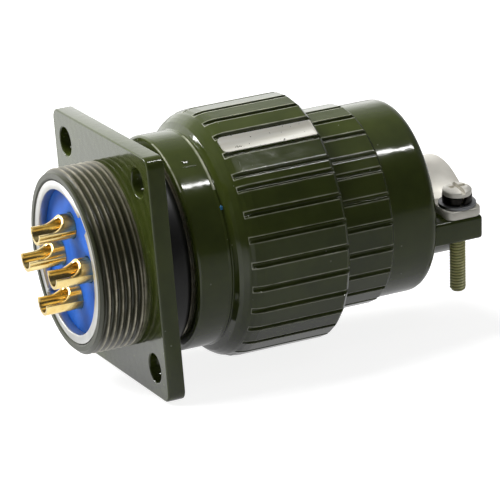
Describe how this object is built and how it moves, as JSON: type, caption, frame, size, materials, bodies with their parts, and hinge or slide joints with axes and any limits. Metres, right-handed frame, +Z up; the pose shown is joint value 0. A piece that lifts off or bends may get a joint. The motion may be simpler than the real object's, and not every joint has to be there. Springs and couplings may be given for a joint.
{
  "type": "circular power connector",
  "caption": "Mated circular power connector: square-flange receptacle with solder cups, and a cable plug with a fluted coupling nut, backshell and screwed cable clamp.",
  "frame": {"origin": "on the connector's axis, in the flange's solder-side face", "axes": "+X along the axis from the solder cups to the cable clamp, +Z up; the flange's sides lie along Y and Z"},
  "size_m": [0.0636, 0.036, 0.0361],
  "materials": {
    "olive_paint": "gloss",
    "satin_aluminium": "satin",
    "blue_moulding": "matte",
    "gold_plate": "satin",
    "black_rubber": "matte",
    "bright_steel": "satin",
    "zinc_steel": "satin",
    "spring_steel": "satin"
  },
  "bodies": {
    "receptacle": {"receptacle_shell": "olive_paint", "receptacle_ring_nut": "satin_aluminium", "receptacle_insert_rear": "blue_moulding", "receptacle_insert_front": "blue_moulding", "neck_seal": "black_rubber", "interface_seal": "black_rubber", "socket_contact_1": "gold_plate", "socket_contact_2": "gold_plate", "socket_contact_3": "gold_plate", "socket_contact_4": "gold_plate"},
    "plug": {"plug_shell": "satin_aluminium", "nut_snap_ring": "spring_steel", "plug_insert_front": "blue_moulding", "plug_insert_rear": "blue_moulding", "plug_ring_nut": "satin_aluminium", "backshell": "olive_paint", "backshell_seal": "black_rubber", "pin_contact_1": "gold_plate", "pin_contact_2": "gold_plate", "pin_contact_3": "gold_plate", "pin_contact_4": "gold_plate"},
    "coupling_nut": {"coupling_nut": "olive_paint"},
    "clamp_saddle": {"clamp_saddle": "bright_steel", "flat_washer_left": "bright_steel", "flat_washer_right": "bright_steel", "spring_washer_left": "spring_steel", "spring_washer_right": "spring_steel"},
    "clamp_screw_left": {"clamp_screw_left": "zinc_steel"},
    "clamp_screw_right": {"clamp_screw_right": "zinc_steel"}
  },
  "joints": [
    {"name": "nut_turn", "type": "hinge", "parent": "plug", "child": "coupling_nut", "pos_m": [0.0182, 0, 0], "axis": [1, 0, 0], "range_deg": [0, 2160]},
    {"name": "plug_slide", "type": "slide", "parent": "receptacle", "child": "plug", "axis": [1, 0, 0], "range_m": [0, 0.009]},
    {"name": "clamp_screw_left_turn", "type": "hinge", "parent": "clamp_saddle", "child": "clamp_screw_left", "pos_m": [0.05, 0.01021, 0.0014], "axis": [0, -0.1357, 0.9907], "range_deg": [0, 2880]},
    {"name": "clamp_screw_right_turn", "type": "hinge", "parent": "clamp_saddle", "child": "clamp_screw_right", "pos_m": [0.05, -0.01021, -0.0014], "axis": [0, -0.1357, 0.9907], "range_deg": [0, 2880]},
    {"name": "clamp_saddle_slide", "type": "slide", "parent": "plug", "child": "clamp_saddle", "axis": [0, -0.1357, 0.9907], "range_m": [0, 0.0036]}
  ],
  "couplings": [
    {"joint": "nut_turn", "follows": "plug_slide", "rad_per_m": 4188.8},
    {"joint": "clamp_screw_left_turn", "follows": "clamp_saddle_slide", "rad_per_m": 13963},
    {"joint": "clamp_screw_right_turn", "follows": "clamp_saddle_slide", "rad_per_m": 13963}
  ]
}
